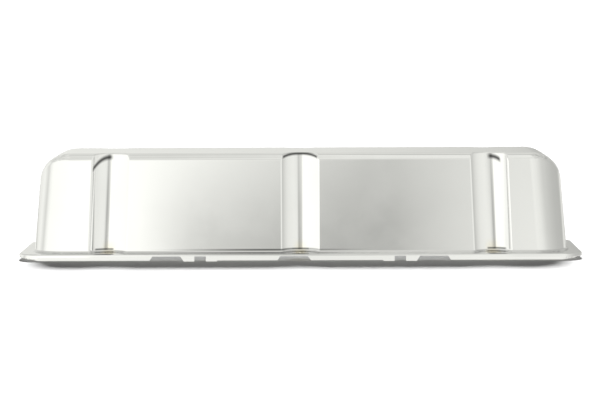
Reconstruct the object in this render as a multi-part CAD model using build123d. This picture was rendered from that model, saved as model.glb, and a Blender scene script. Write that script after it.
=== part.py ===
from build123d import *
from math import copysign, cos, radians, sqrt, tan
import os

# A rocker (valve) cover for an engine: one deep drawing in thin sheet steel.
# Millimetres, +Z up.  The origin is the middle of the cover on the plane that
# the turned-down rim comes down to.  +X runs along the engine.  Both long walls
# are alike.

# Sheet
SHEET = 1.0                 # thickness of the steel

# Flange all round the foot, with its edge turned down into a rim
FLANGE_LENGTH = 470.0
FLANGE_WIDTH = 125.0
FLANGE_CORNER = 18.0        # plan radius of the four corners
FLANGE_TOP = 6.0            # height of the flange's upper face
RIM_BEND = 1.6              # bend where the flange turns down, pressed as a flat
END_LEDGE = 10.8            # flange standing out past an end wall
SIDE_LEDGE = 12.1           # flange standing out past a long wall
FOOT_BEND = 3.0             # bend between the walls and the flange, pressed as a flat

# Domed cover
COVER_HEIGHT = 88.5         # from the rim's plane to the roof
DRAFT = 4.7                 # lean of every wall, degrees
END_RADIUS = 27.0           # upright corners, and the shoulder over each end
ROOF_RADIUS = 7.0           # long edges of the roof

# Flutes that give a socket room over the bolts: three in each long wall
BOLT_HOLE = 7.0             # diameter
BOLT_END = 71.0             # outer bolts from the flange's ends
BOLT_SIDE = 11.0            # every bolt from the flange's long edge
FLUTE_RADIUS = 16.0
FLUTE_DEPTH = 11.0          # how far a flute bites into the wall
FLUTE_LEAN = 2.4            # lean of the outer flutes toward the middle, degrees
FLUTE_INSET = 3.0           # the outer flutes stand this much nearer the middle than their bolts
FLUTE_EDGE = 0.5            # inside radius of the sheet along a flute's edges

# Notches in the turned-down rim
RIM_ROOT = 4.2              # how high a notch reaches
GAP_TOP = 23.0              # wide notches with sloping sides
GAP_MOUTH = 29.0
GAP_PITCH = 111.0           # of the two outer notches from the middle
MIDDLE_GAP = -5.0           # the middle notch sits off centre
SLOT_LENGTH = 9.5           # narrow notches
SLOT_PITCH = 83.0
FOOT_LENGTH = 28.0          # rim left at full depth around each narrow notch
RIM_LIFT = 0.8              # the rest of the long edges stands this much higher
END_LIFT = 3.0              # and the rim rises to this at the two ends

# Worked out from the sizes above
BOLT_PITCH = FLANGE_LENGTH / 2.0 - BOLT_END
BOLT_LINE = FLANGE_WIDTH - 2.0 * BOLT_SIDE
FLUTE_PITCH = BOLT_PITCH - FLUTE_INSET
SLOPE = tan(radians(DRAFT))
DOME_LENGTH = FLANGE_LENGTH - 2.0 * END_LEDGE + 2.0 * FLANGE_TOP * SLOPE
DOME_WIDTH = FLANGE_WIDTH - 2.0 * SIDE_LEDGE + 2.0 * FLANGE_TOP * SLOPE
FLAT = 2.0 - sqrt(2.0)      # a flat this share of a bend's radius lies along its arc


def rounded(body, edges, radius):
    return body.fillet(radius, edges).solids()[0]


def flattened(body, edges, radius):
    """Give edges a flat that follows a bend of this radius."""
    return body.chamfer(radius * FLAT, None, edges).solids()[0]


def drafted_dome(inward):
    """The plain dome without flutes, its skin set in by this much."""
    thinner = 2.0 * inward / cos(radians(DRAFT))
    footprint = Rectangle(DOME_LENGTH - thinner, DOME_WIDTH - thinner)
    dome = extrude(footprint, COVER_HEIGHT - inward, taper=DRAFT).solids()[0]
    corners = dome.edges().group_by(Axis.Z)[1]
    ends = dome.faces().sort_by(Axis.Z)[-1].edges().filter_by(Axis.Y)
    dome = rounded(dome, corners + ends, END_RADIUS - inward)
    roof = dome.faces().sort_by(Axis.Z)[-1].edges().filter_by(Axis.X)
    return rounded(dome, roof, ROOF_RADIUS - inward)


def flute_tool(x, side, inward):
    """The round bar that presses one flute; side is +1 or -1 along Y."""
    lean = -copysign(FLUTE_LEAN, x) if x else 0.0
    axis_y = DOME_WIDTH / 2.0 + (FLUTE_RADIUS - FLUTE_DEPTH) / cos(radians(DRAFT))
    up = Vector(tan(radians(lean)), -side * SLOPE, 1.0)
    start = Vector(x, side * axis_y, 0.0) - up * FLUTE_RADIUS
    seat = Plane(origin=start, x_dir=(1.0, 0.0, 0.0), z_dir=up)
    length = COVER_HEIGHT + 3.0 * FLUTE_RADIUS
    return Solid.make_cylinder(FLUTE_RADIUS + inward, length, seat)


def fluted_dome(inward):
    """The dome with its six flutes and their softened edges."""
    dome = drafted_dome(inward)
    for side in (-1, 1):
        for x in (-FLUTE_PITCH, 0.0, FLUTE_PITCH):
            dome = dome - flute_tool(x, side, inward)
    dome = dome.solids()[0]
    lips = ShapeList()
    for face in dome.faces().filter_by(GeomType.CYLINDER):
        if abs(face.radius - FLUTE_RADIUS - inward) < 0.001:
            lips += face.edges().filter_by(lambda edge: edge.center().Z > SHEET)
    soften = flattened if inward else rounded
    return soften(dome, lips, FLUTE_EDGE + SHEET - inward)


def pressed_form(inward):
    """Solid under one skin of the drawing: 0 is the outer skin, SHEET the inner."""
    slab = RectangleRounded(FLANGE_LENGTH - 2.0 * inward, FLANGE_WIDTH - 2.0 * inward,
                            FLANGE_CORNER - inward)
    slab = extrude(slab, FLANGE_TOP - inward).solids()[0]
    if inward:
        return (fluted_dome(inward) + slab).solids()[0]
    slab = flattened(slab, slab.faces().sort_by(Axis.Z)[-1].edges(), RIM_BEND)
    form = (fluted_dome(inward) + slab).solids()[0]
    flange = form.faces().filter_by(Axis.Z).sort_by(Axis.Z)[1]
    return flattened(form, flange.inner_wires()[0].edges(), FOOT_BEND)


def rim_edge():
    """Side view of what is trimmed from under the rim, feet left standing."""
    half = FLANGE_LENGTH / 2.0
    turn = half - FLANGE_CORNER
    trim = Polyline((-half, -1.0), (-half, END_LIFT), (-turn, RIM_LIFT), (turn, RIM_LIFT),
                    (half, END_LIFT), (half, -1.0), (-half, -1.0))
    trim = make_face(trim)
    for x in (-SLOT_PITCH, SLOT_PITCH):
        trim -= Pos(x, 0) * Rectangle(FOOT_LENGTH, 4.0 * RIM_LIFT)
        trim += Pos(x, 0) * Rectangle(SLOT_LENGTH, 2.0 * RIM_ROOT)
    side = Polyline((-GAP_MOUTH / 2.0, 0.0), (-GAP_TOP / 2.0, RIM_ROOT), (GAP_TOP / 2.0, RIM_ROOT),
                    (GAP_MOUTH / 2.0, 0.0), (-GAP_MOUTH / 2.0, 0.0))
    for x in (-GAP_PITCH, MIDDLE_GAP, GAP_PITCH):
        trim += Pos(x, 0) * make_face(side)
    return trim


def bolt_holes():
    """Two rows of three holes through the flange, one at the foot of each flute."""
    holes = GridLocations(BOLT_PITCH, BOLT_LINE, 3, 2) * Circle(BOLT_HOLE / 2.0)
    return extrude(Sketch() + holes, FLANGE_TOP)


def valve_cover_shell():
    """The finished drawing: hollow, trimmed along its rim and pierced."""
    shell = pressed_form(0.0) - pressed_form(SHEET)
    shell -= extrude(Plane.XZ * rim_edge(), FLANGE_WIDTH, both=True)
    shell -= bolt_holes()
    return shell


os.makedirs("parts", exist_ok=True)
shell = valve_cover_shell()
shell.label = "valve_cover_shell"
export_step(shell, "parts/valve_cover_shell.step")
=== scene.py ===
from math import cos, pi, radians, sin, tan

import bmesh
import bpy
from mathutils import Matrix, Vector


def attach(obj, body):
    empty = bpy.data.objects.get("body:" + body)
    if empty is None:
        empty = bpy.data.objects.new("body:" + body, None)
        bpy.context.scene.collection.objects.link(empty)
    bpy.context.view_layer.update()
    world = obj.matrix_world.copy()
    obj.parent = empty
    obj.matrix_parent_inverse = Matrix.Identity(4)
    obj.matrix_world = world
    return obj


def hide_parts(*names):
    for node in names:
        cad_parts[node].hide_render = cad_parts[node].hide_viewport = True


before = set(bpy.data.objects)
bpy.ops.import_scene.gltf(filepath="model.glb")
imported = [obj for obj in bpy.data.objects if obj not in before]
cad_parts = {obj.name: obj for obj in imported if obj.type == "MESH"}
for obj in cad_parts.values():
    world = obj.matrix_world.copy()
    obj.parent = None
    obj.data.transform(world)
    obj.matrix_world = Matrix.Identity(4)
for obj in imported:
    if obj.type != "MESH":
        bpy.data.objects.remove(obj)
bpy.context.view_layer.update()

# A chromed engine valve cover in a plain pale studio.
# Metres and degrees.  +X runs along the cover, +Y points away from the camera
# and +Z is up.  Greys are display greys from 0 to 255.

# ---------------------------------------------------------------- camera
CAMERA_PLACE = (0.01666, -2.1381, 0.2172)
CAMERA_YAW = -0.46              # to the right is positive
CAMERA_DOWN = 4.81
CAMERA_ROLL = -0.23
LENS = 151.1                    # mm
SENSOR = 36.0                   # mm

# ---------------------------------------------------------------- the CAD shell
NODE = "valve_cover_shell"
FLANGE_TOP = 0.006
FLUTE_RADIUS = 0.016
FLUTE_PITCH = 0.161             # of the outer flutes from the middle one
FLUTE_LEAN = 2.4                # of the outer flutes toward the middle

# ---------------------------------------------------------------- how it mirrors
MERGE = 0.00001                 # vertices closer than this are one
CREASE = 50.0                   # edges that turn by more stay crisp
COPLANAR = 0.5                  # faces within this angle are one flat patch
FLUTE_BACK = 0.028              # no flute comes nearer the middle plane than this
FLUTE_FOOT = 0.0005             # a flute starts this far above the flange
FLUTE_EASE = 0.3                # share of its sideways turn that a flute mirrors

# ---------------------------------------------------------------- plating
HAZE = (0.3, 0.7)               # the noise's values for the pairs below
PLATING = (247, 251)            # grey of the clean plating
PAINTED_SHADE_GREY = (46, 74)                # grey of the painted shade in the folds and along the foot
GLOSS = (0.03, 0.075)           # roughness
WARM_TINT = (1.0, 0.94, 0.78)
CLEAN_TINT = (1.0, 1.0, 1.0)
HAZE_SCALE = 26.0
HAZE_DETAIL = 4.0
WAVE_SCALE = 11.0
WAVE_DETAIL = 1.0
WAVE_HEIGHT = 0.00006

# ---------------------------------------------------------------- painted shade in the folds
# A crescent of painted shade under each flute's upper lip: its level over the flute's middle,
# its half width, how far it falls at the flute's edge, and where it ends as a
# share of the flute's radius.
MIDDLE_LIP = dict(level=0.0876, reach=0.0021, drop=0.0034, width=0.94)
OUTER_LIP = dict(level=0.0850, reach=0.0034, drop=0.0115, width=0.98)
LIP_CURVE = 2.6                 # how late the crescent falls
LIP_FADE = 0.1                  # of its width
LIP_BACK = (0.0312, 0.0317)     # it lies farther out than this
LIP_START = (-0.002, 0.002)     # the outer ones begin at the flute's middle
LEFT_SIDE_LIPS = (-0.01, 0.0)   # x where the left ones give way to the right ones
RIGHT_LIP_END = (0.0085, 0.0105)
# how dark the crescents' painted shade is
LIP_SHADE = 0.95
# Painted shade: dark lines along the foot of the wall and the flange's edge
LINE_REACH = 0.0014             # half width of a line
FOOT_LINE = 0.0083              # height of the line on the foot's bend
FOOT_SHADE = 0.85
EDGE_LINE = 0.0614              # distance of the edge's line from the middle plane
EDGE_SHADE = 0.85
FOOT_RUN = (-0.03, 0.10)        # middle and reach of both lines along the middle
BOLT_OFFSET = 0.0035            # an end bolt's lines lie this far outward
BOLT_RUN = (0.0065, 0.0085)     # how far they run at each bolt
# The flange's upper face, dulled with painted shade: from nothing to full, and from full to
# nothing
LEDGE = (FLANGE_TOP - 0.0008, FLANGE_TOP - 0.0003, FLANGE_TOP + 0.0010, FLANGE_TOP + 0.0020)
LEDGE_SHADE = 0.20
# A warm tinge in the foot of each flute
TINGE = 0.6
TINGE_MIDDLE = 0.001
TINGE_REACH = 0.007
TINGE_HEIGHT = (0.009, 0.018)
TINGE_DEPTH = (0.036, 0.038, 0.059, 0.061)

# ---------------------------------------------------------------- studio
# The room that the chrome mirrors, in four bands from the floor upward.  Each
# is a list of bearings and greys: 0 is toward the camera, 90 to the right and
# 180 behind.  A bright side on the left, the screen with its dark middle near
# the camera, and darker ends behind.
FLOOR_BAND = (
    (-180, 196), (-174, 216), (-168, 238), (-100, 226), (-88, 214), (-70, 247), (-8, 247),
    (0, 233), (5, 238), (80, 224), (92, 190), (110, 214), (166, 232), (172, 206), (176, 184),
    (180, 196),
)
LEFT_SIDE = (
    (-180, 217), (-173, 228), (-140, 232), (-112, 242), (-92, 214), (-80, 244), (-70, 254),
)
RIGHT_SIDE = (
    (26, 229), (42, 214), (60, 198), (90, 186), (120, 182), (150, 202), (171, 166),
    (173.5, 170), (175, 200), (180, 217),
)
LOWER_SCREEN = (
    (-3.9, 260), (-3.3, 228), (-2.7, 203), (-1.8, 193), (-1.0, 191), (0.2, 176), (0.8, 163),
    (1.4, 170), (2.1, 195), (3.0, 212), (4.8, 234), (12, 234),
)
UPPER_SCREEN = ((-4, 260), (-2.7, 240), (0.2, 206), (1.8, 192), (3.2, 218), (5, 228), (12, 235))
HIGH_BAND = (
    (-180, 216), (-10, 226), (-1, 230), (4, 240), (30, 220), (90, 186), (140, 198), (180, 216),
)
ROOM = (
    FLOOR_BAND,
    LEFT_SIDE + LOWER_SCREEN + RIGHT_SIDE,
    LEFT_SIDE + UPPER_SCREEN + RIGHT_SIDE,
    HIGH_BAND,
)
RISES = ((-0.6, 0.0), (3.8, 6.0), (14.0, 34.0))     # elevations between two bands
ROOM_TINT = (1.0, 1.005, 0.955)
ROOM_STRENGTH = 1.07

# Lights, screens and dark gaps elsewhere in the room, out of the front wall's view
CLUTTER = ((0.36, 84), (0.46, 168), (0.52, 214), (0.58, 246))     # noise and grey
CLUTTER_SCALE = (5.0, 5.0, 15.0)
CLUTTER_DETAIL = 1.5
CLUTTER_BELOW = (-9.0, -5.8)    # elevations where it fades
CLUTTER_BESIDE = (-3.5, -1.0)
CLUTTER_SIDE = (0.30, 0.45)     # sines of the bearings where "beside" begins
CLUTTER_ABOVE = (16.0, 30.0)
CLUTTER_FAINT = 0.22            # its share overhead

FLOOR_SIZE = 3000.0
FLOOR_COLOUR = (0.9, 0.9, 0.9, 1.0)
SUNS = {                        # toward the sun, its width in degrees, its strength
    "key_sun": ((0.0, 0.68, 0.73), 17.0, 5.6),
    "fill_sun": ((0.0, 0.0, 1.0), 140.0, 0.2),
}
GLOW_SIZE = (0.40, 0.05)
GLOW_HEIGHT = 0.07
GLOW_POWER = 0.055


# ---------------------------------------------------------------- node helpers
class Tree:
    """A few short words for wiring shader nodes."""

    def __init__(self, tree):
        self.tree = tree

    def node(self, kind, **settings):
        made = self.tree.nodes.new(kind)
        for name, value in settings.items():
            setattr(made, name, value)
        return made

    def link(self, source, target):
        self.tree.links.new(source, target)

    def math(self, operation, first, second=None):
        made = self.node("ShaderNodeMath", operation=operation)
        for socket, value in zip(made.inputs, (first, second)):
            if value is None:
                continue
            if isinstance(value, (int, float)):
                socket.default_value = value
            else:
                self.link(value, socket)
        return made.outputs[0]

    def product(self, first, *rest):
        for value in rest:
            first = self.math("MULTIPLY", first, value)
        return first

    def most(self, first, *rest):
        for value in rest:
            first = self.math("MAXIMUM", first, value)
        return first

    def mix(self, factor, first, second):
        made = self.node("ShaderNodeMix", data_type="RGBA")
        self.link(factor, made.inputs["Factor"])
        self.link(first, made.inputs["A"])
        self.link(second, made.inputs["B"])
        return made.outputs["Result"]

    def spread(self, value, low, high, start, end):
        """From start at low to end at high, easing in and out."""
        made = self.node("ShaderNodeMapRange", interpolation_type="SMOOTHSTEP")
        limits = {"From Min": low, "From Max": high, "To Min": start, "To Max": end}
        for name, number in limits.items():
            made.inputs[name].default_value = number
        self.link(value, made.inputs["Value"])
        return made.outputs["Result"]

    def rise(self, value, low, high):
        return self.spread(value, low, high, 0.0, 1.0)

    def fall(self, value, low, high):
        return self.spread(value, low, high, 1.0, 0.0)

    def within(self, value, outer_low, low, high, outer_high):
        """1 between the inner two limits, 0 outside the outer two."""
        return self.product(self.rise(value, outer_low, low), self.fall(value, high, outer_high))

    def near(self, value, centre, reach):
        """1 at the centre, 0 from this far away."""
        away = self.math("ABSOLUTE", self.math("SUBTRACT", value, centre))
        return self.fall(away, 0.0, reach)

    def noise(self, place, scale, detail):
        made = self.node("ShaderNodeTexNoise")
        made.inputs["Scale"].default_value = scale
        made.inputs["Detail"].default_value = detail
        self.link(place, made.inputs["Vector"])
        return made.outputs["Fac"]

    def ramp(self, factor, stops, tint=CLEAN_TINT):
        made = self.node("ShaderNodeValToRGB")
        made.color_ramp.interpolation = "LINEAR"
        elements = made.color_ramp.elements
        while len(elements) < len(stops):
            elements.new(0.5)
        for element, (place, grey) in zip(elements, stops):
            element.position = place
            element.color = (*shade(grey, tint), 1.0)
        self.link(factor, made.inputs["Fac"])
        return made.outputs["Color"]


def shade(grey, tint):
    """A linear colour from a display grey."""
    value = ((grey / 255.0 + 0.055) / 1.055) ** 2.4
    return tuple(value * share for share in tint)


def sines(angles):
    return [sin(radians(angle)) for angle in angles]


def add(name, data):
    """A new object in the scene."""
    made = bpy.data.objects.new(name, data)
    bpy.context.scene.collection.objects.link(made)
    return made


def new_material(name):
    """A material with nodes, and its shader."""
    material = bpy.data.materials.new(name)
    material.use_nodes = True
    return material, material.node_tree.nodes["Principled BSDF"]


# ---------------------------------------------------------------- camera
def aim_camera():
    data = bpy.data.cameras.new("camera")
    data.lens = LENS
    data.sensor_width = SENSOR
    data.sensor_fit = "HORIZONTAL"
    camera = add("camera", data)
    turn = Matrix.Rotation(-radians(CAMERA_YAW), 4, "Z")
    tilt = Matrix.Rotation(pi / 2.0 - radians(CAMERA_DOWN), 4, "X")
    roll = Matrix.Rotation(radians(CAMERA_ROLL), 4, "Z")
    camera.matrix_world = Matrix.Translation(CAMERA_PLACE) @ turn @ tilt @ roll
    bpy.context.scene.camera = camera


# ---------------------------------------------------------------- the cover
def flat_patches(made):
    """Number each run of coplanar faces, so a wall cut in triangles counts as one."""
    patch = {}
    limit = radians(COPLANAR)
    for start in made.faces:
        if start.index in patch:
            continue
        patch[start.index] = start.index
        front = [start]
        while front:
            face = front.pop()
            for edge in face.edges:
                for near in edge.link_faces:
                    if near.index not in patch and near.normal.angle(start.normal, pi) < limit:
                        patch[near.index] = start.index
                        front.append(near)
    return patch


def eased(place, normal):
    """In a flute the normals turn less than the wall does, so it mirrors as a soft fold."""
    along, depth = abs(place.x), abs(place.y)
    lean = place.z * tan(radians(FLUTE_LEAN))
    offset = min(along, abs(along + lean - FLUTE_PITCH))
    if offset < FLUTE_RADIUS and depth > FLUTE_BACK and place.z > FLANGE_TOP + FLUTE_FOOT:
        return Vector((normal.x * FLUTE_EASE, normal.y, normal.z))
    return normal


def smooth_normals(mesh):
    """Corner normals weighted by flat patch, so flats stay flat beside every bend."""
    made = bmesh.new()
    made.from_mesh(mesh)
    bmesh.ops.remove_doubles(made, verts=made.verts, dist=MERGE)
    made.faces.ensure_lookup_table()
    patch = flat_patches(made)
    area = {}
    for face in made.faces:
        name = patch[face.index]
        area[name] = area.get(name, 0.0) + face.calc_area()
    limit = cos(radians(CREASE))
    normals = []
    for face in made.faces:
        for vertex in face.verts:
            total = Vector()
            seen = set()
            for near in vertex.link_faces:
                name = patch[near.index]
                if near.normal.dot(face.normal) > limit and name not in seen:
                    seen.add(name)
                    total += near.normal * area[name] ** 2
            normals.append(eased(vertex.co, total).normalized())
    made.to_mesh(mesh)
    made.free()
    mesh.shade_smooth()
    mesh.normals_split_custom_set(normals)


def dressed_shell():
    """The pressed shell again, welded into one skin and chromed."""
    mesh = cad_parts[NODE].data.copy()
    mesh.name = "chromed_shell"
    smooth_normals(mesh)
    mesh.materials.clear()
    mesh.materials.append(chrome())
    shell = add("chromed_shell", mesh)
    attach(shell, "root")
    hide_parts(NODE)


def chrome():
    """Mirror plating with faint waves and haze, and painted shade in the folds."""
    material, surface = new_material("chrome")
    surface.inputs["Metallic"].default_value = 1.0
    tree = Tree(material.node_tree)
    place = tree.node("ShaderNodeTexCoord").outputs["Object"]
    haze = tree.noise(place, HAZE_SCALE, HAZE_DETAIL)
    clean = tree.ramp(haze, tuple(zip(HAZE, PLATING)))
    warm = tree.ramp(haze, tuple(zip(HAZE, PLATING)), WARM_TINT)
    # painted shade: the dark grey that the folds and lines are mixed toward
    painted_shade = tree.ramp(haze, tuple(zip(HAZE, PAINTED_SHADE_GREY)))
    painted_shade_marks, tinge = folds(tree, place)
    plating = tree.mix(tinge, clean, warm)
    tree.link(tree.mix(painted_shade_marks, plating, painted_shade), surface.inputs["Base Color"])
    tree.link(tree.spread(haze, *HAZE, *GLOSS), surface.inputs["Roughness"])
    wave = tree.node("ShaderNodeBump")
    wave.inputs["Strength"].default_value = 1.0
    wave.inputs["Distance"].default_value = WAVE_HEIGHT
    tree.link(tree.noise(place, WAVE_SCALE, WAVE_DETAIL), wave.inputs["Height"])
    tree.link(wave.outputs["Normal"], surface.inputs["Normal"])
    return material


def folds(tree, place):
    """Where shade is painted, and where the plating is warm."""
    split = tree.node("ShaderNodeSeparateXYZ")
    tree.link(place, split.inputs[0])
    x, y, z = split.outputs
    along = tree.math("ABSOLUTE", x)
    depth = tree.math("ABSOLUTE", y)
    # distance outward from the middle of an outer flute
    lean = tree.math("MULTIPLY", z, tan(radians(FLUTE_LEAN)))
    endward = tree.math("SUBTRACT", tree.math("ADD", along, lean), FLUTE_PITCH)
    beside = tree.math("ABSOLUTE", endward)
    # the outer crescents hang toward the ends, the right one shorter than the left
    left = tree.fall(x, *LEFT_SIDE_LIPS)
    hanging = tree.product(tree.rise(endward, *LIP_START),
                           tree.most(left, tree.fall(endward, *RIGHT_LIP_END)))
    outer = tree.product(crescent(tree, beside, depth, z, **OUTER_LIP), hanging)
    middle = crescent(tree, along, depth, z, **MIDDLE_LIP)
    # the dark lines of painted shade, along the middle and at every bolt
    bolt = tree.math("ABSOLUTE", tree.math("SUBTRACT", endward, BOLT_OFFSET))
    bolt = tree.math("MINIMUM", bolt, along)
    run = tree.most(tree.near(x, *FOOT_RUN), tree.fall(bolt, *BOLT_RUN))
    painted_shade_marks = tree.most(middle, outer, foot_shade(tree, run, depth, z))
    nearest = tree.math("MINIMUM", along, beside)
    tinge = tree.product(tree.near(nearest, TINGE_MIDDLE, TINGE_REACH),
                         tree.fall(z, *TINGE_HEIGHT), TINGE, tree.within(depth, *TINGE_DEPTH))
    return painted_shade_marks, tinge


def crescent(tree, offset, depth, z, level, reach, drop, width):
    """A dark line of painted shade under a flute's upper lip, falling away to both sides of the
    flute.
    """
    share = tree.math("DIVIDE", offset, FLUTE_RADIUS)
    fallen = tree.math("MULTIPLY", tree.math("POWER", share, LIP_CURVE), drop)
    return tree.product(tree.near(tree.math("ADD", z, fallen), level, reach), LIP_SHADE,
                        tree.fall(share, width - LIP_FADE, width), tree.rise(depth, *LIP_BACK))


def foot_shade(tree, run, depth, z):
    """Painted shade: dark lines at the foot of the wall and the flange's edge, and a darker
    ledge between.
    """
    on_top = tree.within(z, *LEDGE)
    foot = tree.product(tree.near(z, FOOT_LINE, LINE_REACH), FOOT_SHADE, run)
    edge = tree.product(tree.near(depth, EDGE_LINE, LINE_REACH), EDGE_SHADE, run, on_top)
    ledge = tree.product(on_top, LEDGE_SHADE)
    return tree.most(ledge, foot, edge)


# ---------------------------------------------------------------- the studio
def make_floor():
    bpy.ops.mesh.primitive_plane_add(size=FLOOR_SIZE, location=(0.0, 0.0, 0.0))
    floor = bpy.context.object
    floor.name = "floor"
    floor.visible_glossy = False        # the room has a floor band of its own
    material, surface = new_material("white_floor")
    surface.inputs["Base Color"].default_value = FLOOR_COLOUR
    surface.inputs["Roughness"].default_value = 1.0
    surface.inputs["Specular IOR Level"].default_value = 0.0
    floor.data.materials.append(material)


def sun(name, toward, width, strength):
    """A lamp for the floor alone: the chrome doesn't mirror it."""
    data = bpy.data.lights.new(name, "SUN")
    data.angle = radians(width)
    data.energy = strength
    light = add(name, data)
    light.rotation_euler = Vector(toward).to_track_quat("Z", "Y").to_euler()
    light.visible_glossy = False


def inside_glow():
    """A faint lamp under the roof, so that the rim's notches don't look black."""
    data = bpy.data.lights.new("inside_glow", "AREA")
    data.shape = "RECTANGLE"
    data.size, data.size_y = GLOW_SIZE
    data.energy = GLOW_POWER
    light = add("inside_glow", data)
    light.location = (0.0, 0.0, GLOW_HEIGHT)
    light.visible_glossy = False
    light.visible_camera = False


def studio_room():
    """What the chrome mirrors.  It lights nothing else."""
    world = bpy.data.worlds.new("studio")
    bpy.context.scene.world = world
    world.use_nodes = True
    world.cycles_visibility.diffuse = False
    tree = Tree(world.node_tree)
    place = tree.node("ShaderNodeTexCoord").outputs["Generated"]
    split = tree.node("ShaderNodeSeparateXYZ")
    tree.link(place, split.inputs[0])
    across, away, up = split.outputs
    bearing = tree.math("ARCTAN2", across, tree.math("MULTIPLY", away, -1.0))
    turn = tree.math("ADD", tree.math("DIVIDE", bearing, 2.0 * pi), 0.5)
    bands = []
    for band in ROOM:
        stops = [(0.5 + angle / 360.0, grey) for angle, grey in band]
        bands.append(tree.ramp(turn, stops, ROOM_TINT))
    room = bands[0]
    for band, elevations in zip(bands[1:], RISES):
        room = tree.mix(tree.rise(up, *sines(elevations)), room, band)
    colour = tree.mix(clutter_share(tree, across, up), room, clutter(tree, place))
    background = world.node_tree.nodes["Background"]
    tree.link(colour, background.inputs["Color"])
    background.inputs["Strength"].default_value = ROOM_STRENGTH


def clutter(tree, place):
    """Wide, low patches of light and dark."""
    stretch = tree.node("ShaderNodeVectorMath", operation="MULTIPLY")
    stretch.inputs[1].default_value = CLUTTER_SCALE
    tree.link(place, stretch.inputs[0])
    patches = tree.noise(stretch.outputs["Vector"], 1.0, CLUTTER_DETAIL)
    return tree.ramp(patches, CLUTTER, ROOM_TINT)


def clutter_share(tree, across, up):
    """Full below, from nearer the horizon at the sides, and faint overhead."""
    below = tree.fall(up, *sines(CLUTTER_BELOW))
    beside = tree.product(tree.rise(tree.math("ABSOLUTE", across), *CLUTTER_SIDE),
                          tree.fall(up, *sines(CLUTTER_BESIDE)))
    above = tree.product(tree.rise(up, *sines(CLUTTER_ABOVE)), CLUTTER_FAINT)
    return tree.most(below, beside, above)


dressed_shell()
make_floor()
studio_room()
inside_glow()
for name, (toward, width, strength) in SUNS.items():
    sun(name, toward, width, strength)
aim_camera()
bpy.context.scene.view_settings.view_transform = "Standard"
